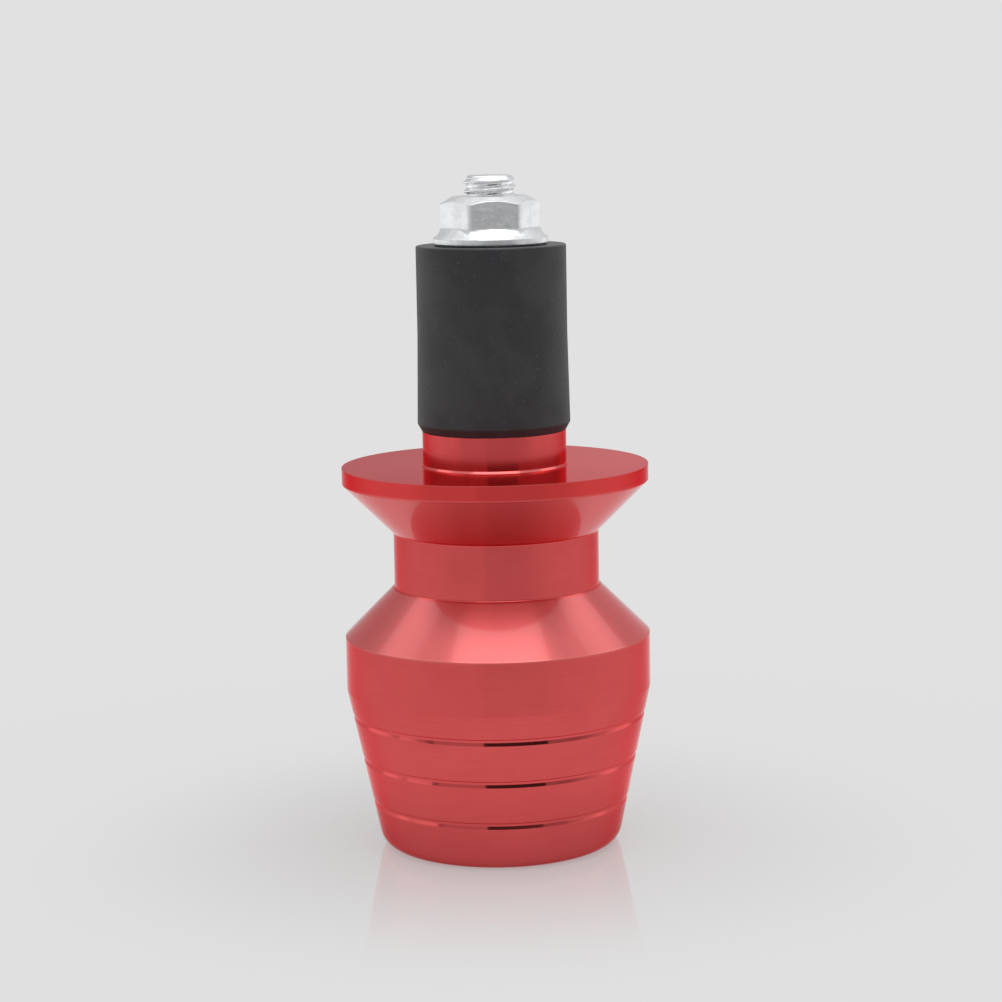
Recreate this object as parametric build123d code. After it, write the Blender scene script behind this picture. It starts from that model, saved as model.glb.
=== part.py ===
from build123d import *
import math
import os

# Bar end weight for a handlebar: a turned aluminium body with a rubber sleeve that one long screw squeezes
# against it. Millimetres, +Z up along the axis. The origin is the centre of the rounded outer end, on which
# the part stands; the rubber and the nut, which go inside the bar, are at the top.

# Weight body, outside
body_length = 44.0        # outer end to flange face
flange_d = 35.0
rim_thickness = 1.8
waist_d = 23.5
waist_length = 6.2        # straight part between the two bevels
bevel_angle = 45.0        # both bevels beside the waist, measured from the axis
shoulder_d = 35.0
band_length = 6.1         # straight band below the shoulder
end_d = 28.0              # where the end's rounding meets the taper
end_rise = 1.6            # height of that rounding
rim_bevel = 0.15          # on the edge of the flange face

# Three turned grooves in the taper
groove_pitch = 5.0
groove_slope_rise = 0.4   # the sloped lower half, up to the deepest line
groove_floor_rise = 0.4   # the upper half, parallel to the taper
groove_depth = 0.17

# Spigot between flange and rubber
spigot_step = 0.5         # how far the rubber stands out past the spigot
spigot_length = 4.0
cove_size = 0.5           # sloped ring at the spigot's foot

# Rubber sleeve
rubber_tip_d = 17.0       # at the nut, the end that enters the bar first
rubber_tip_length = 10.0  # straight part at that end
rubber_swell = 0.2        # radial, how much thicker it is at the spigot
rubber_length = 21.0
rubber_foot_rise = 0.9    # height of the bevel down to the spigot's size
rubber_tip_bevel = 0.25

# Clamp screw, M6 with a socket head
bolt_d = 5.9
bolt_hole_gap = 0.35      # radial, through body and rubber
bolt_proud = 2.3          # past the nut
bolt_tip_bevel = 0.55
head_d = 10.0
head_height = 6.0
head_bevel = 0.5
head_gap = 0.5            # radial, between head and counterbore
head_seat = 11.8          # depth of the counterbore
mouth_bevel = 0.4
key_width = 5.0
key_depth = 3.0
key_mouth_bevel = 0.2

# Flange nut, M6
nut_flats = 10.0
nut_height = 5.5
nut_turn = 5.4            # degrees from a flat that faces -Y, anticlockwise seen from above
nut_flange_d = 13.0
nut_foot_inset = 0.3      # the flange's lower edge is smaller than its rim
nut_rim_rise = 0.85
nut_rim_bevel = 0.1
nut_flange_angle = 36.0   # slope of the flange's top
nut_crown_d = 8.4         # flat ring on top, inside the corner bevel
nut_crown_angle = 30.0
nut_thread_gap = 0.05     # radial, nut to screw; both threads are plain
nut_mouth_bevel = 0.35

# Heights of the stack
flange_bevel_top = body_length - rim_thickness
upper_bevel_rise = (flange_d - waist_d) / 2 / math.tan(math.radians(bevel_angle))
waist_top = flange_bevel_top - upper_bevel_rise
waist_bottom = waist_top - waist_length
lower_bevel_rise = (shoulder_d - waist_d) / 2 / math.tan(math.radians(bevel_angle))
band_top = waist_bottom - lower_bevel_rise
taper_top = band_top - band_length
spigot_top = body_length + spigot_length
rubber_top = spigot_top + rubber_length
nut_top = rubber_top + nut_height
bolt_tip = nut_top + bolt_proud

# Radii that follow from other pieces
rubber_foot_r = rubber_tip_d / 2 + rubber_swell
spigot_r = rubber_foot_r - spigot_step
bolt_r = bolt_d / 2
hole_r = bolt_r + bolt_hole_gap
counterbore_r = head_d / 2 + head_gap
nut_bore_r = bolt_r + nut_thread_gap

# The taper, from the end's rounding up to the band
taper_angle = math.atan2((shoulder_d - end_d) / 2, taper_top - end_rise)
end_round = end_rise / (1 - math.sin(taper_angle))


def taper_r(height):
    """Radius of the taper at a height."""
    return end_d / 2 + (height - end_rise) * math.tan(taper_angle)


def turned(*corners):
    """Solid turned about the Z axis. Each corner of its section is (radius, height), and a cut corner
    adds fillet or chamfer and the size of the cut."""
    section = make_face(Polyline(*[corner[:2] for corner in corners], close=True))
    for radius, height, cut, size in [corner for corner in corners if len(corner) > 2]:
        vertex = section.vertices().sort_by_distance((radius, height))[0]
        section = cut(vertex, size)
    return revolve(Plane.XZ * section, Axis.Z)


def groove_corners():
    """Section of the grooves, from the lowest up, as many as the taper has room for."""
    groove_rise = groove_slope_rise + groove_floor_rise
    corners = []
    foot = groove_pitch
    while foot + groove_rise < taper_top:
        deepest = foot + groove_slope_rise
        step = foot + groove_rise
        corners += [
            (taper_r(foot), foot),
            (taper_r(deepest) - groove_depth, deepest),
            (taper_r(step) - groove_depth, step),
            (taper_r(step), step),
        ]
        foot += groove_pitch
    return corners


def make_weight_body():
    """One turned piece, bored for the screw and counterbored for its head."""
    return turned(
        (counterbore_r, 0, chamfer, mouth_bevel),
        (taper_r(0), 0, fillet, end_round),
        *groove_corners(),
        (shoulder_d / 2, taper_top),
        (shoulder_d / 2, band_top),
        (waist_d / 2, waist_bottom),
        (waist_d / 2, waist_top),
        (flange_d / 2, flange_bevel_top),
        (flange_d / 2, body_length, chamfer, rim_bevel),
        (spigot_r, body_length, chamfer, cove_size),
        (spigot_r, spigot_top),
        (hole_r, spigot_top),
        (hole_r, head_seat),
        (counterbore_r, head_seat),
    )


def make_rubber_sleeve():
    """Tube seated on the spigot, a little thicker at its foot and bevelled down to the spigot there."""
    return turned(
        (hole_r, spigot_top),
        (spigot_r, spigot_top),
        (rubber_foot_r, spigot_top + rubber_foot_rise),
        (rubber_tip_d / 2, rubber_top - rubber_tip_length),
        (rubber_tip_d / 2, rubber_top, chamfer, rubber_tip_bevel),
        (hole_r, rubber_top),
    )


def make_flange_nut():
    """Hexagon with bevelled corners on a round sloped flange, bored through."""
    flange_r = nut_flange_d / 2
    flats_r = nut_flats / 2
    crown_r = nut_crown_d / 2
    rim_top = rubber_top + nut_rim_rise
    slope_top = rim_top + (flange_r - flats_r) * math.tan(math.radians(nut_flange_angle))
    flange = turned(
        (0, rubber_top),
        (flange_r - nut_foot_inset, rubber_top),
        (flange_r, rim_top, chamfer, nut_rim_bevel),
        (flats_r, slope_top),
        (0, slope_top),
    )
    crown = turned(
        (0, rubber_top),
        (flange_r, rubber_top),
        (flange_r, nut_top - (flange_r - crown_r) * math.tan(math.radians(nut_crown_angle))),
        (crown_r, nut_top),
        (0, nut_top),
    )
    flats = RegularPolygon(flats_r, 6, major_radius=False, rotation=nut_turn)
    prism = extrude(Plane.XY.offset(rubber_top) * flats, nut_height)
    bore = turned(
        (0, rubber_top),
        (nut_bore_r, rubber_top),
        (nut_bore_r, nut_top - nut_mouth_bevel),
        (nut_bore_r + nut_mouth_bevel, nut_top),
        (0, nut_top),
    )
    return flange + (prism & crown) - bore


def make_clamp_bolt():
    """Screw from its socket head in the counterbore to its bevelled end above the nut."""
    head_face = head_seat - head_height
    screw = turned(
        (0, head_face),
        (head_d / 2, head_face, chamfer, head_bevel),
        (head_d / 2, head_seat),
        (bolt_r, head_seat),
        (bolt_r, bolt_tip, chamfer, bolt_tip_bevel),
        (0, bolt_tip),
    )
    key_flats = RegularPolygon(key_width / 2, 6, major_radius=False)
    socket = extrude(Plane.XY.offset(head_face) * key_flats, key_depth)
    corner_r = key_width / 2 / math.cos(math.pi / 6)
    mouth = turned(
        (0, head_face),
        (corner_r + key_mouth_bevel, head_face),
        (corner_r, head_face + key_mouth_bevel),
        (0, head_face + key_mouth_bevel),
    )
    return screw - socket - mouth


pieces = {
    "weight_body": make_weight_body(),
    "rubber_sleeve": make_rubber_sleeve(),
    "flange_nut": make_flange_nut(),
    "clamp_bolt": make_clamp_bolt(),
}

os.makedirs("parts", exist_ok=True)
for name, solid in pieces.items():
    export_step(solid, f"parts/{name}.step")
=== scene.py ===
import math

import bmesh
import bpy
from mathutils import Matrix, Vector


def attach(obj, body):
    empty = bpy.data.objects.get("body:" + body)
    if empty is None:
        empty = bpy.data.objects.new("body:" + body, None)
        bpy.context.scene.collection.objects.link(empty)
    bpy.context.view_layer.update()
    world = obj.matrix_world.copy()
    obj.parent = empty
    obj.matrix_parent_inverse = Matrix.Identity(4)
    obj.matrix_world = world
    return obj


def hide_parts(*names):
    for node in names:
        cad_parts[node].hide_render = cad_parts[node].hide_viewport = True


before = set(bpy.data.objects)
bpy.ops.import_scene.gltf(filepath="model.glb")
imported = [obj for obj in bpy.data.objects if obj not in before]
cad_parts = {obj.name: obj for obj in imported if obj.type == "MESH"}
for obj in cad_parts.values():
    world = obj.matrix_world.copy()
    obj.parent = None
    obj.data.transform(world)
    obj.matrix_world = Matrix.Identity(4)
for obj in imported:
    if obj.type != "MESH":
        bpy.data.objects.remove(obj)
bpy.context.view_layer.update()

# Sizes in millimetres, on the CAD's own heights. The meshes are made in metres.
MM = 0.001

# Driving sizes
body_length = 44.0            # outer end to flange face
flange_r = 17.5
rim_thickness = 1.8
waist_r = 11.75
waist_length = 6.2
shoulder_r = 17.5
band_length = 6.1
end_r = 14.0                  # where the end's rounding meets the taper
end_rise = 1.6
spigot_length = 4.0
spigot_step = 0.5             # how far the rubber stands out past the spigot
rubber_r = 8.5
rubber_swell = 0.2            # how much thicker the rubber is at its foot
rubber_length = 21.0
rubber_tip_length = 10.0      # the straight part that enters the bar first
bolt_r = 2.95
bolt_hole_gap = 0.35
head_r = 5.0
head_gap = 0.5                # between head and counterbore
head_height = 6.0
head_seat = 11.8
nut_flat_r = 5.0
nut_height = 5.5
nut_thread_gap = 0.05
bolt_proud = 2.3              # past the nut

# Heights that follow. Both bevels beside the waist are at 45 degrees.
rim_foot = body_length - rim_thickness
waist_top = rim_foot - (flange_r - waist_r)
waist_bottom = waist_top - waist_length
band_top = waist_bottom - (shoulder_r - waist_r)
taper_top = band_top - band_length
spigot_top = body_length + spigot_length
rubber_top = spigot_top + rubber_length
nut_top = rubber_top + nut_height
bolt_tip = nut_top + bolt_proud

# Radii that follow
rubber_foot_r = rubber_r + rubber_swell
spigot_r = rubber_foot_r - spigot_step
hole_r = bolt_r + bolt_hole_gap
counterbore_r = head_r + head_gap
nut_bore_r = bolt_r + nut_thread_gap

# Roundings of edges, from the keenest up
crisp = 0.03
eased = 0.05
soft = 0.08
blunt = 0.1
rounded = 0.12

# How many azimuths the round meshes have
body_turns = 288
rubber_turns = 192
floor_turns = 96

# Details of the body
mouth_bevel = 0.4
groove_feet = (5.0, 10.0, 15.0)
groove_half = 0.4
groove_depth = 0.17
ledge_rise = 0.12             # height of a groove's sloped upper edge
ring_width = 0.22             # sloped ring at the spigot's foot
ring_rise = 0.26
ring_rounding = 0.04
seat_rounding = 0.15
shoulder_rounding = 0.3       # where the taper meets the band
waist_bottom_rounding = 0.25
waist_top_rounding = 0.2
taper_angle = math.atan2(shoulder_r - end_r, taper_top - end_rise)
end_rounding = end_rise / (1 - math.sin(taper_angle))

# Details of the rubber
rubber_foot_rise = 0.9
rubber_bend = 4.0             # rounding where its foot begins to widen
rubber_foot_rounding = 0.25
rubber_tip_rounding = 0.18

# Details of the nut
nut_turn = math.radians(5.4)
nut_corner_rounding = 0.7
nut_edge_rounding = 0.06
nut_rim_rounding = 0.14
nut_root_rounding = 0.12      # between hexagon and flange, in the middle of a flat
nut_root_spread = 1.7         # how fast it widens towards the corners
nut_flange_r = 6.5
nut_flange_slope = math.tan(math.radians(36))
nut_foot_inset = 0.22
nut_foot_rise = 0.24
nut_rim_rise = 0.85
nut_crown_r = 4.2
nut_crown_slope = math.tan(math.radians(30))
nut_mouth_bevel = 0.35

# Details of the screw
head_face = head_seat - head_height
head_bevel = 0.5
key_flat_r = 2.5
key_depth = 3.0
key_rounding = 0.12
key_mouth_r = 3.1
key_mouth_slope = 0.45
key_mouth_rounding = 0.06
shank_top = 61.6
thread_from = 62.0            # inside the rubber, where the thread begins
thread_run_out = 0.8
thread_pitch = 1.0
thread_depth = 0.34
thread_crest = 0.07           # half the width of the flat crest
thread_flank = 0.29           # height of one flank
thread_step = 0.04            # between rings of the mesh
tip_bevel = 0.55
tip_inset = 0.06              # of the end face's edge, which eases it


def taper_r(height):
    """Radius of the body's taper at a height."""
    return end_r + (height - end_rise) * math.tan(taper_angle)


# Sections and turned meshes

def softened(corners, steps=6, band=0.03):
    """Line of a section whose corners, (radius, height, rounding), are rounded. A corner with a
    rounding of 0 stays as it is. The flats get a narrow band beside each rounding, which keeps them
    flat in the shading."""
    line = []
    for i, (radius, height, rounding) in enumerate(corners):
        corner = Vector((radius, height))
        if not rounding:
            line.append(corner)
            continue
        back = (Vector(corners[i - 1][:2]) - corner).normalized()
        ahead = (Vector(corners[(i + 1) % len(corners)][:2]) - corner).normalized()
        half = back.angle(ahead) / 2
        reach = rounding / math.tan(half)
        centre = corner + (back + ahead).normalized() * (rounding / math.sin(half))
        first = corner + back * reach - centre
        last = corner + ahead * reach - centre
        sweep = math.pi - 2 * half
        line.append(corner + back * (reach + band))
        for k in range(steps + 1):
            part = k / steps * sweep
            spoke = first * math.sin(sweep - part) + last * math.sin(part)
            line.append(centre + spoke / math.sin(sweep))
        line.append(corner + ahead * (reach + band))
    return line


def turned(name, section, azimuths, closed=True):
    """Object turned about the Z axis. section gives its line at an azimuth, with the same number of
    points each time. A closed section is a ring's, an open one begins and ends on the axis."""
    vertices = []
    for azimuth in azimuths:
        for radius, height in section(azimuth):
            x = radius * math.cos(azimuth)
            y = radius * math.sin(azimuth)
            vertices.append((x * MM, y * MM, height * MM))
    count = len(vertices) // len(azimuths)
    spans = count if closed else count - 1
    faces = []
    for i in range(len(azimuths)):
        here = i * count
        there = (i + 1) % len(azimuths) * count
        for j in range(spans):
            k = (j + 1) % count
            faces.append((here + j, there + j, there + k, here + k))
    mesh = bpy.data.meshes.new(name)
    mesh.from_pydata(vertices, [], faces)
    shell = bmesh.new()
    shell.from_mesh(mesh)
    bmesh.ops.remove_doubles(shell, verts=shell.verts, dist=1e-7)
    bmesh.ops.recalc_face_normals(shell, faces=shell.faces)
    shell.to_mesh(mesh)
    shell.free()
    mesh.shade_smooth()
    piece = bpy.data.objects.new(name, mesh)
    bpy.context.scene.collection.objects.link(piece)
    return piece


def even_azimuths(count):
    """Azimuths evenly round the axis."""
    return [2 * math.pi * i / count for i in range(count)]


def hexagon_r(azimuth, flat_r, rounding):
    """Radius of a hexagon with rounded corners, a flat of it facing -Y."""
    off_flat = azimuth % (math.pi / 3) - math.pi / 6
    flat_end = (flat_r - rounding) * math.tan(math.pi / 6)
    if flat_r * math.tan(abs(off_flat)) < flat_end:
        return flat_r / math.cos(off_flat)
    off_corner = math.pi / 6 - abs(off_flat)
    centre_r = (flat_r - rounding) / math.cos(math.pi / 6)
    aside = centre_r * math.sin(off_corner)
    return centre_r * math.cos(off_corner) + math.sqrt(rounding ** 2 - aside ** 2)


def hexagon_azimuths(flat_r, rounding, turn, across=8, fan=4, beside=0.006):
    """Azimuths for a hexagon: some across each half of a flat, one close beside its end, and a fan
    round each corner."""
    corner = math.pi / 6
    tangent = math.atan((flat_r - rounding) * math.tan(corner) / flat_r)
    half = [tangent * k / across for k in range(1, across + 1)] + [tangent - beside]
    half += [tangent + (corner - tangent) * k / fan for k in range(1, fan)]
    offsets = [0, -corner] + half + [-off for off in half]
    return sorted(turn + (side + 0.5) * math.pi / 3 + off for side in range(6) for off in offsets)


# Pieces

def weight_body():
    """Body with its edges eased, its end rounded and a sloped ring at the spigot's foot."""
    corners = [
        (counterbore_r, head_seat, seat_rounding),
        (counterbore_r, mouth_bevel, soft),
        (counterbore_r + mouth_bevel, 0, soft),
        (taper_r(0), 0, end_rounding),
    ]
    for foot in groove_feet:
        deepest = foot + groove_half
        step = deepest + groove_half
        corners += [
            (taper_r(foot), foot, rounded),
            (taper_r(deepest) - groove_depth, deepest, eased),
            (taper_r(step - ledge_rise) - groove_depth, step - ledge_rise, crisp),
            (taper_r(step), step, eased),
        ]
    corners += [
        (shoulder_r, taper_top, shoulder_rounding),
        (shoulder_r, band_top, soft),
        (waist_r, waist_bottom, waist_bottom_rounding),
        (waist_r, waist_top, waist_top_rounding),
        (flange_r, rim_foot, crisp),
        (flange_r, body_length, crisp),
        (spigot_r + ring_width, body_length, ring_rounding),
        (spigot_r, body_length + ring_rise, eased),
        (spigot_r, spigot_top, eased),
        (hole_r, spigot_top, eased),
        (hole_r, head_seat, eased),
    ]
    line = softened(corners)
    return turned("weight_body_turned", lambda azimuth: line, even_azimuths(body_turns))


def rubber_sleeve():
    """Moulded tube, its edges soft, a little thicker towards its foot."""
    corners = [
        (hole_r, spigot_top, eased),
        (spigot_r, spigot_top, soft),
        (rubber_foot_r, spigot_top + rubber_foot_rise, rubber_foot_rounding),
        (rubber_r, rubber_top - rubber_tip_length, rubber_bend),
        (rubber_r, rubber_top, rubber_tip_rounding),
        (hole_r, rubber_top, blunt),
    ]
    line = softened(corners, steps=8)
    return turned("rubber_sleeve_moulded", lambda azimuth: line, even_azimuths(rubber_turns))


def flange_nut():
    """Forged nut: hexagon with rounded corners under a bevelled crown, on a sloped round flange."""
    rim_top = rubber_top + nut_rim_rise

    def section(azimuth):
        side_r = hexagon_r(azimuth - nut_turn, nut_flat_r, nut_corner_rounding)
        root_rounding = nut_root_rounding + nut_root_spread * (side_r - nut_flat_r)
        corners = [
            (nut_bore_r, rubber_top, eased),
            (nut_flange_r - nut_foot_inset, rubber_top, nut_edge_rounding),
            (nut_flange_r, rubber_top + nut_foot_rise, blunt),
            (nut_flange_r, rim_top, nut_rim_rounding),
            (side_r, rim_top + (nut_flange_r - side_r) * nut_flange_slope, root_rounding),
            (side_r, nut_top - (side_r - nut_crown_r) * nut_crown_slope, blunt),
            (nut_crown_r, nut_top, rounded),
            (nut_bore_r + nut_mouth_bevel, nut_top, nut_edge_rounding),
            (nut_bore_r, nut_top - nut_mouth_bevel, nut_edge_rounding),
        ]
        return softened(corners, steps=5)

    turns = hexagon_azimuths(nut_flat_r, nut_corner_rounding, nut_turn)
    return turned("flange_nut_forged", section, turns)


def thread_r(azimuth, height):
    """Radius of the screw's thread, with a flat crest, a flat root and sloped flanks, right-handed."""
    turn = (height / thread_pitch - azimuth / (2 * math.pi)) % 1
    off_crest = abs(turn - 0.5) * thread_pitch
    sunk = min(1, max(0, (off_crest - thread_crest) / thread_flank))
    return bolt_r - thread_depth * sunk


def clamp_bolt():
    """Screw from its socket head to its threaded, bevelled end."""
    rings = int((bolt_tip - thread_from) / thread_step)
    heights = [bolt_tip - thread_step * k for k in range(1, rings)]

    def section(azimuth):
        key_r = hexagon_r(azimuth, key_flat_r, key_rounding)
        head = [
            (0, head_face + key_depth, 0),
            (key_r, head_face + key_depth, blunt),
            (key_r, head_face + (key_mouth_r - key_r) * key_mouth_slope, eased),
            (key_mouth_r, head_face, key_mouth_rounding),
            (head_r - head_bevel, head_face, rounded),
            (head_r, head_face + head_bevel, rounded),
            (head_r, head_seat, soft),
            (bolt_r, head_seat, blunt),
            (bolt_r, shank_top, 0),
        ]
        line = softened(head, steps=4)
        for height in reversed(heights):
            cut = min(1, (height - thread_from) / thread_run_out)
            threaded = bolt_r + (thread_r(azimuth, height) - bolt_r) * cut
            bevelled = bolt_r - max(0, tip_bevel - (bolt_tip - height))
            line.append(Vector((min(threaded, bevelled), height)))
        line.append(Vector((line[-1].x - tip_inset, bolt_tip)))
        line.append(Vector((0, bolt_tip)))
        return line

    turns = hexagon_azimuths(key_flat_r, key_rounding, 0)
    return turned("clamp_bolt_threaded", section, turns, closed=False)


# Nodes of the finishes

class Wire:
    """An output of a node. Arithmetic on it adds Math nodes."""

    def __init__(self, sheet, socket):
        self.sheet = sheet
        self.socket = socket

    def out(self, name):
        """Another output of the same node."""
        return Wire(self.sheet, self.socket.node.outputs[name])

    def math(self, operation, *values):
        """Adds a Math node that works on the values."""
        return self.sheet.node("ShaderNodeMath", {"operation": operation}, dict(enumerate(values)))

    def __add__(self, other):
        return self.math("ADD", self, other)

    __radd__ = __add__

    def __sub__(self, other):
        return self.math("SUBTRACT", self, other)

    def __rsub__(self, other):
        return self.math("SUBTRACT", other, self)

    def __mul__(self, other):
        return self.math("MULTIPLY", self, other)

    __rmul__ = __mul__

    def __pow__(self, other):
        return self.math("POWER", self, other)


class Sheet:
    """The nodes of one material or world."""

    def __init__(self, owner):
        owner.use_nodes = True
        self.tree = owner.node_tree
        self.tree.nodes.clear()

    def node(self, kind, settings=None, sockets=None):
        """Adds a node: its settings first, then values or wires into its sockets."""
        new = self.tree.nodes.new(kind)
        for name, value in (settings or {}).items():
            setattr(new, name, value)
        for name, value in (sockets or {}).items():
            if isinstance(name, int):
                socket = new.inputs[name]
            else:
                socket = next(s for s in new.inputs if s.enabled and s.name == name)
            if isinstance(value, Wire):
                self.tree.links.new(value.socket, socket)
            elif socket.type == "RGBA":
                socket.default_value = (*value, 1)
            else:
                socket.default_value = value
        shown = [s for s in new.outputs if s.enabled]
        return Wire(self, shown[0]) if shown else None

    def split(self, vector):
        """X, Y and Z of a vector, as numbers."""
        x = self.node("ShaderNodeSeparateXYZ", {}, {"Vector": vector})
        return x, x.out("Y"), x.out("Z")

    def joined(self, x, y, z):
        """Vector from three numbers."""
        return self.node("ShaderNodeCombineXYZ", {}, {"X": x, "Y": y, "Z": z})

    def grey(self, level):
        """Grey colour of a level."""
        return self.joined(level, level, level)

    def ease(self, value, low, high, start=0.0, end=1.0):
        """A smooth step from start, where value is low, to end, where it is high."""
        return self.node(
            "ShaderNodeMapRange",
            {"interpolation_type": "SMOOTHSTEP"},
            {"Value": value, "From Min": low, "From Max": high, "To Min": start, "To Max": end},
        )

    def fade(self, value, low, high):
        """A smooth step from 1, where value is low, to 0, where it is high."""
        return self.ease(value, low, high, 1.0, 0.0)

    def mixed(self, factor, first, second):
        """Colour between first and second."""
        sockets = {"Factor": factor, "A": first, "B": second}
        return self.node("ShaderNodeMix", {"data_type": "RGBA"}, sockets)

    def for_camera(self, others, camera):
        """The level camera for what the camera sees straight on, and others for every other ray."""
        sockets = {"Factor": self.camera_ray(), "A": others, "B": camera}
        return self.node("ShaderNodeMix", {"data_type": "FLOAT"}, sockets)

    def camera_ray(self):
        """1 for what the camera sees straight on, else 0."""
        return self.node("ShaderNodeLightPath")

    def millimetres(self):
        """The point on the object, in millimetres of the CAD's frame."""
        place = self.node("ShaderNodeTexCoord").out("Object")
        sockets = {"Vector": place, "Scale": 1 / MM}
        return self.node("ShaderNodeVectorMath", {"operation": "SCALE"}, sockets)

    def noise(self, vector, scale, detail):
        """Noise from about 0.25 to 0.75, with features one over scale wide."""
        return self.node("ShaderNodeTexNoise", {}, {"Vector": vector, "Scale": scale, "Detail": detail})


def hypotenuse(first, second):
    """Distance from where both are 0, as of the Z axis from X and Y."""
    return (first * first + second * second) ** 0.5


# Finishes

anodised_deep = (0.68, 0.078, 0.080)
anodised_pale = (0.72, 0.088, 0.089)
# Painted highlight: a paler red for the bevels' whitish highlights
bevel_highlight_red = (0.73, 0.14, 0.14)
anodised_rim = (0.75, 0.05, 0.05)
# Painted highlight: a pale red for lines of light along edges
edge_highlight_red = (0.86, 0.30, 0.28)
anodised_glance = (1.0, 0.32, 0.34)
rubber_black = (0.016, 0.0165, 0.019)
rubber_bloom = (0.027, 0.0275, 0.030)
rubber_dust = (0.10, 0.10, 0.10)
zinc_bright = (0.87, 0.88, 0.89)
zinc_dull = (0.82, 0.83, 0.85)


def finished(sheet, colour, roughness, height, depth, others):
    """Ends a material's nodes with its shader. height and depth, in metres, are the bump's. others
    gives further sockets of the shader by name."""
    normal = sheet.node("ShaderNodeBump", {}, {"Height": height, "Distance": depth, "Strength": 1.0})
    sockets = {"Base Color": colour, "Roughness": roughness, "Normal": normal, **others}
    shader = sheet.node("ShaderNodeBsdfPrincipled", {}, sockets)
    sheet.node("ShaderNodeOutputMaterial", {}, {"Surface": shader})


def turning_marks(sheet, place, scale):
    """Fine rings left by the lathe, the same all round, with a trace of drift."""
    x, y, z = sheet.split(place)
    return sheet.noise(sheet.joined(hypotenuse(x, y), x * 0.02, z), scale, 4.0)


def red_anodised():
    """Bright red anodising over turned aluminium: satin, deeper in the marks, and smoother in the
    grooves and on the flange face. Paler lines on some edges and a paler red on the bevels are painted
    highlights."""
    material = bpy.data.materials.new("red_anodised_satin")
    sheet = Sheet(material)
    place = sheet.millimetres()
    x, y, z = sheet.split(place)
    radius = hypotenuse(x, y)
    marks = turning_marks(sheet, place, 9.0)
    cloud = sheet.noise(place, 0.25, 2.0)
    speck = sheet.noise(place, 14.0, 2.0)

    # Where the bevels, the rim, the flange face and the grooves are
    lower = sheet.ease(z, band_top - 0.05, band_top + 0.1)
    lower = lower * sheet.fade(z, waist_bottom - 0.35, waist_bottom - 0.05)
    upper = sheet.ease(z, waist_top + 0.05, waist_top + 0.35)
    upper = upper * sheet.fade(z, rim_foot - 0.2, rim_foot)
    bevelled = lower + upper
    rimmed = sheet.ease(z, rim_foot - 0.05, rim_foot + 0.1)
    rimmed = rimmed * sheet.fade(z, body_length - 0.2, body_length - 0.05)
    faced = sheet.ease(z, body_length - 0.3, body_length)
    grooved = 0
    for foot in groove_feet:
        top = foot + 2 * groove_half
        grooved += sheet.ease(z, foot - 0.02, foot + 0.04) * sheet.fade(z, top - 0.02, top + 0.04)

    uneven = sheet.ease(marks * 0.6 + cloud * 0.4, 0.35, 0.65)
    colour = sheet.mixed(uneven, anodised_deep, anodised_pale)
    # Painted highlight: the bevels get a paler red that stands in for their whitish highlights
    colour = sheet.mixed(bevelled * 0.8, colour, bevel_highlight_red)
    colour = sheet.mixed(rimmed * 0.8, colour, anodised_rim)
    # Painted highlights: paler lines along the rim's foot, the top of the band and the ring at the
    # spigot's foot
    highlit_edges = (
        (flange_r, rim_foot, 0.2),
        (shoulder_r, band_top, 0.2),
        (spigot_r + ring_rise / 2, body_length + ring_rise / 2, 0.35),
    )
    for edge_r, edge_z, share in highlit_edges:
        off = hypotenuse(radius - edge_r, z - edge_z)
        edge_highlight = sheet.ease(off + speck * 0.12, 0.14, 0.26, share, 0.0)
        colour = sheet.mixed(edge_highlight, colour, edge_highlight_red)

    roughness = 0.19 - grooved * 0.09 - faced * 0.05 + bevelled * 0.11
    roughness = roughness + (marks - 0.5) * 0.05 + (speck - 0.5) * 0.015
    finished(sheet, colour, roughness, marks * (1 - bevelled * 0.6), 0.0000004, {
        "Metallic": 1.0,
        "Specular Tint": anodised_glance,
        "Anisotropic": 0.6,
        "Anisotropic Rotation": 0.25,
        "Coat Weight": 0.35 - faced * 0.2 - rimmed * 0.2 + bevelled * 0.45,
        "Coat Roughness": 0.08,
        "Coat IOR": 1.5,
    })
    return material


def black_rubber():
    """Moulded black rubber: matt, with a fine grain, dusty specks and a paler bloom."""
    material = bpy.data.materials.new("black_rubber_matt")
    sheet = Sheet(material)
    place = sheet.millimetres()
    grain = sheet.noise(place, 5.0, 5.0)
    specks = sheet.noise(place, 3.2, 2.0)
    bloom = sheet.noise(place, 0.18, 2.0)
    colour = sheet.mixed(sheet.ease(bloom, 0.35, 0.65), rubber_black, rubber_bloom)
    colour = sheet.mixed(sheet.ease(specks, 0.66, 0.74) * 0.5, colour, rubber_dust)
    z = sheet.split(place)[2]
    pressed = sheet.ease(z, rubber_top - 0.25, rubber_top - 0.05)
    roughness = 0.55 - pressed * 0.15 + (grain - 0.5) * 0.25
    finished(sheet, colour, roughness, grain, 0.00004, {"Metallic": 0.0})
    return material


def bright_zinc(name, marks_of, satin, depth):
    """Zinc plating: bright, a little milky, with marks from the making and dull patches. satin is its
    roughness where it is bright, and depth that of its marks in metres."""
    material = bpy.data.materials.new(name)
    sheet = Sheet(material)
    place = sheet.millimetres()
    marks = marks_of(sheet, place)
    dull = sheet.ease(sheet.noise(place, 0.7, 4.0), 0.40, 0.66)
    colour = sheet.mixed(dull, zinc_bright, zinc_dull)
    roughness = satin + dull * 0.05 + (marks - 0.5) * 0.08
    finished(sheet, colour, roughness, marks, depth, {"Metallic": 1.0})
    return material


def forged_marks(sheet, place):
    """The nut's skin: low uneven dents from forging."""
    return sheet.noise(place, 1.1, 4.0)


def rolled_marks(sheet, place):
    """The screw's skin: fine lines round it."""
    return turning_marks(sheet, place, 7.0)


# Floor, light and camera

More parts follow.
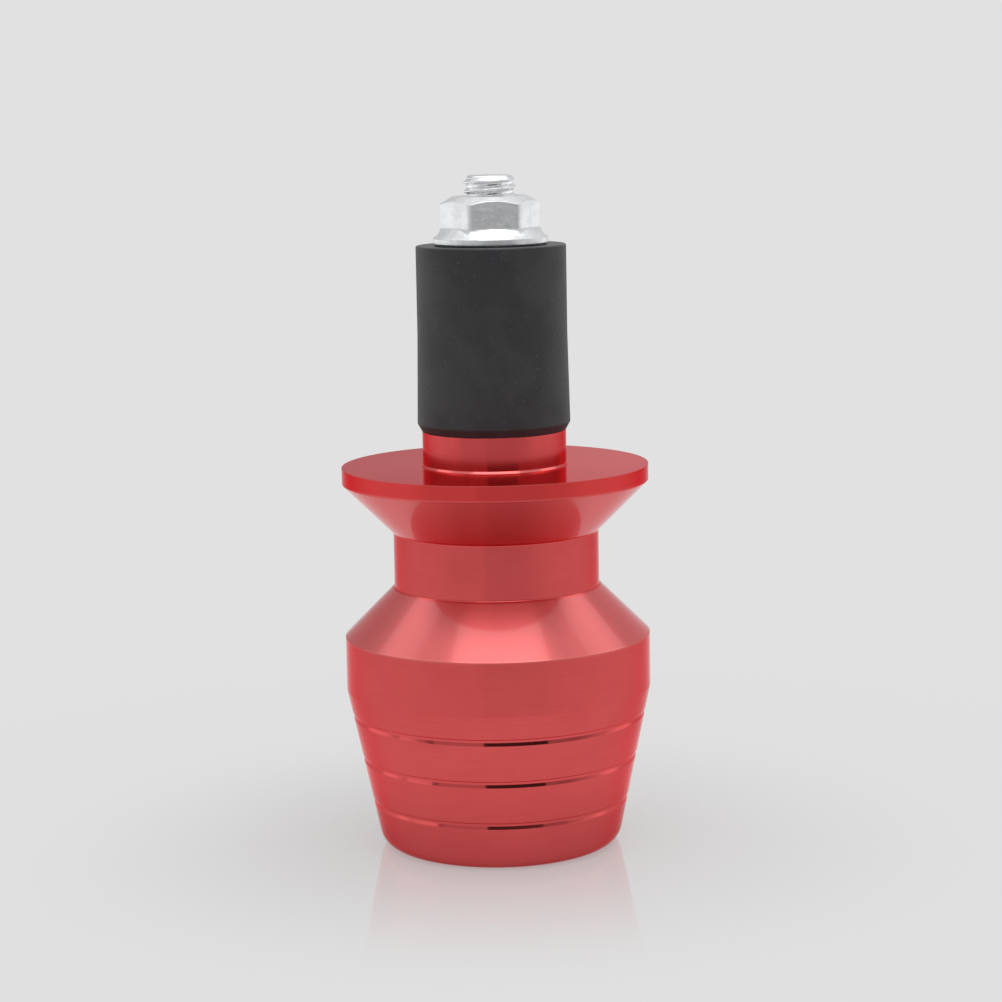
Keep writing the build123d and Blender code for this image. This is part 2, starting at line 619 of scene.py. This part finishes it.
DEGREES = 180 / math.pi
background = 0.753            # level of everything behind the object, as the camera sees it

floor_height = -0.01          # just under the object's foot
floor_r = 460
card_distance = 342.0         # from the axis, a little further than the camera
card_spans = 12
softbox_aim = 30.0            # height that the lamps face
lamp_watts = 4                # for a square metre at a level of 1

# The camera, as fitted to the photo
photo_width = 1002            # pixels
focal_length = 2700           # pixels
sensor_width = 36.0
camera_distance = 309.03
camera_aim = (0.634, 0, 39.717)
camera_down = math.radians(8.631)
camera_lean = math.radians(-1.033)


def pale_floor():
    """Plain pale floor with a soft polish close round the object, which takes its shadow there. The
    camera sees it at the background's level. Reflections see it as it is in the tent, dimmer in front,
    where it leaves the tent."""
    rings = [Vector((radius, floor_height)) for radius in (0, 30, 60, 120, floor_r)]
    floor = turned("floor", lambda azimuth: rings, even_azimuths(floor_turns), closed=False)
    material = bpy.data.materials.new("pale_floor")
    sheet = Sheet(material)
    x, y, z = sheet.split(sheet.millimetres())
    radius = hypotenuse(x, y)
    bearing = x.math("ARCTAN2", x, y * -1) * DEGREES

    # How bright reflections see it
    in_front = sheet.fade(bearing.math("ABSOLUTE", bearing), 40.0, 90.0)
    far = sheet.ease(radius, 140.0, 290.0)
    # Painted shade: a dimmer stripe towards the camera, which only reflections see
    stripe = sheet.ease(bearing, -14.0, -11.0) * sheet.fade(bearing, 24.0, 50.0)
    stripe = stripe * sheet.ease(radius, 80.0, 110.0)
    level = sheet.ease(radius, 100.0, 200.0, 0.79, 0.71) * sheet.ease(radius, 300.0, 350.0, 1.0, 0.85)
    level = level * (1 - 0.02 * in_front - 0.08 * in_front * far)
    level = level * (1 - 0.09 * stripe - 0.05 * stripe * far)
    # Painted shade: reflections see the floor darker close round the object's foot, and a little
    # lighter a short way out
    level = level * sheet.ease(radius, 10.0, 30.0, 0.70, 1.12)
    level = level * sheet.ease(radius, 34.0, 52.0, 1.0, 0.893)

    # The share that the lamps light, which takes the shadow, and the share that glows by itself
    lit = sheet.ease(radius, 16.0, 60.0, 0.42, 0.10) * sheet.fade(radius, 60.0, 130.0)
    glow = sheet.for_camera(level, background) * (1 - lit)
    shader = sheet.node("ShaderNodeBsdfPrincipled", {}, {
        "Base Color": sheet.grey(lit * 0.66),
        "Roughness": 1.0,
        "Specular IOR Level": 0.0,
        "Emission Color": sheet.grey(glow),
        "Emission Strength": 1.0,
        "Coat Weight": sheet.camera_ray() * sheet.fade(radius, 14.0, 52.0),
        "Coat Roughness": 0.006,
        "Alpha": sheet.fade(radius, 400.0, 450.0),
    })
    sheet.node("ShaderNodeOutputMaterial", {}, {"Surface": shader})
    floor.data.materials.append(material)


def studio_walls():
    """White tent round the object: bright low at its sides and overhead, dimmer low behind, with a
    dark seam just above the bright sides. The camera sees the plain background instead."""
    world = bpy.data.worlds.new("studio_walls")
    bpy.context.scene.world = world
    sheet = Sheet(world)
    x, y, z = sheet.split(sheet.node("ShaderNodeTexCoord").out("Generated"))
    rise = z.math("ARCSINE", z) * DEGREES
    behind = sheet.ease(y, 0.45, 0.75)

    # Bright sides, which reach further down on the left
    bright = sheet.ease(y, -0.60, -0.30, 0.0, 0.6) + sheet.ease(y, -0.05, 0.15, 0.0, 0.4)
    bright = bright * sheet.fade(y, 0.80, 0.90)
    left = sheet.fade(x, -0.3, 0.0)
    foot = sheet.ease(rise, -6.5, -4.5) * (1 - left) + sheet.ease(rise, -16.0, -13.0) * left
    bright = bright * foot * sheet.fade(rise, 1.5, 4.0)

    # The seam, and the dimmer wall behind
    low = sheet.fade(rise, 30.0, 46.0) * sheet.ease(rise, -4.0, 2.0)
    seam = sheet.ease(rise, 4.5, 7.3, 0.10, 0.46) * sheet.ease(rise, 11.0, 15.0, 1.0, 0.25)
    back = 0.22 * behind - 0.12 * behind * sheet.ease(x, -0.05, 0.05)
    dim = low * (seam * (1 - behind) + back)

    walls = background - dim + bright * 0.45 + sheet.ease(rise, 56.0, 68.0) * 0.22
    level = sheet.for_camera(walls, background)
    light = sheet.node("ShaderNodeBackground", {}, {"Color": sheet.grey(level)})
    sheet.node("ShaderNodeOutputWorld", {}, {"Surface": light})


def studio_card(name, bearings, heights, level, distance=card_distance):
    """Upright card bent round the object, from one bearing to another in degrees right of the front
    and from one height to another, of an even brightness. The camera doesn't see it."""
    points = []
    for k in range(card_spans + 1):
        bearing = math.radians(bearings[0] + (bearings[1] - bearings[0]) * k / card_spans)
        x = distance * math.sin(bearing)
        y = -distance * math.cos(bearing)
        for height in heights:
            points.append((x * MM, y * MM, height * MM))
    mesh = bpy.data.meshes.new(name)
    spans = [(2 * k, 2 * k + 2, 2 * k + 3, 2 * k + 1) for k in range(card_spans)]
    mesh.from_pydata(points, [], spans)
    card = bpy.data.objects.new(name, mesh)
    bpy.context.scene.collection.objects.link(card)
    material = bpy.data.materials.new(name)
    sheet = Sheet(material)
    light = sheet.node("ShaderNodeEmission", {}, {"Color": (1.0, 1.0, 1.0), "Strength": level})
    sheet.node("ShaderNodeOutputMaterial", {}, {"Surface": light})
    mesh.materials.append(material)
    card.visible_camera = False
    card.visible_shadow = False


def softbox(name, toward, distance, width, depth, level):
    """Rectangular lamp that faces the object from a direction, its distance and sides in metres.
    level is the brightness of its face."""
    lamp = bpy.data.lights.new(name, "AREA")
    lamp.shape = "RECTANGLE"
    lamp.size = width
    lamp.size_y = depth
    lamp.energy = level * width * depth * lamp_watts
    holder = bpy.data.objects.new(name, lamp)
    direction = Vector(toward).normalized()
    holder.location = Vector((0, 0, softbox_aim * MM)) + direction * distance
    holder.rotation_euler = direction.to_track_quat("Z", "Y").to_euler()
    holder.visible_camera = False
    bpy.context.scene.collection.objects.link(holder)


def photo_camera():
    """Camera low in front, where the photo was taken from."""
    lens = bpy.data.cameras.new("photo_camera")
    lens.sensor_width = sensor_width
    lens.lens = focal_length / photo_width * sensor_width
    lens.clip_start = 0.01
    camera = bpy.data.objects.new("photo_camera", lens)
    ahead = Vector((0, math.cos(camera_down), -math.sin(camera_down)))
    camera.location = Vector(camera_aim) * MM - ahead * camera_distance * MM
    turn = ahead.to_track_quat("-Z", "Y").to_matrix().to_4x4()
    camera.rotation_euler = (turn @ Matrix.Rotation(camera_lean, 4, "Z")).to_euler()
    bpy.context.scene.collection.objects.link(camera)
    bpy.context.scene.camera = camera


def placed(piece, node, material):
    """The piece takes a CAD node's place, with its finish."""
    piece.data.materials.append(material)
    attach(piece, "root")
    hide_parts(node)


bpy.context.scene.view_settings.view_transform = "Standard"
photo_camera()
pale_floor()
studio_walls()
studio_card("high_wall_card", (-51, 37), (83, 104), 0.27)
studio_card("front_wall_card", (-51, 37), (34, 83), 0.55)
studio_card("right_wall_card", (37, 60), (34, 104), 0.38)
studio_card("left_window_card", (-82, -57), (24, 54), 1.0)
studio_card("low_wall_card", (-51, 51), (2, 34), 0.60)
studio_card("camera_opening_card", (-12, 37), (42, 98), 0.03, 336.0)
softbox("top_softbox", (0.035, -0.38, 1), 0.60, 0.50, 0.64, 0.80)
softbox("left_softbox", (-0.57, 0.24, 0.77), 0.70, 0.21, 0.40, 0.46)
softbox("right_softbox", (0.59, 0.32, 0.70), 0.70, 0.23, 0.42, 0.50)

nut_zinc = bright_zinc("nut_zinc_bright", forged_marks, 0.34, 0.00008)
bolt_zinc = bright_zinc("bolt_zinc_bright", rolled_marks, 0.18, 0.000006)
placed(weight_body(), "weight_body", red_anodised())
placed(rubber_sleeve(), "rubber_sleeve", black_rubber())
placed(flange_nut(), "flange_nut", nut_zinc)
placed(clamp_bolt(), "clamp_bolt", bolt_zinc)
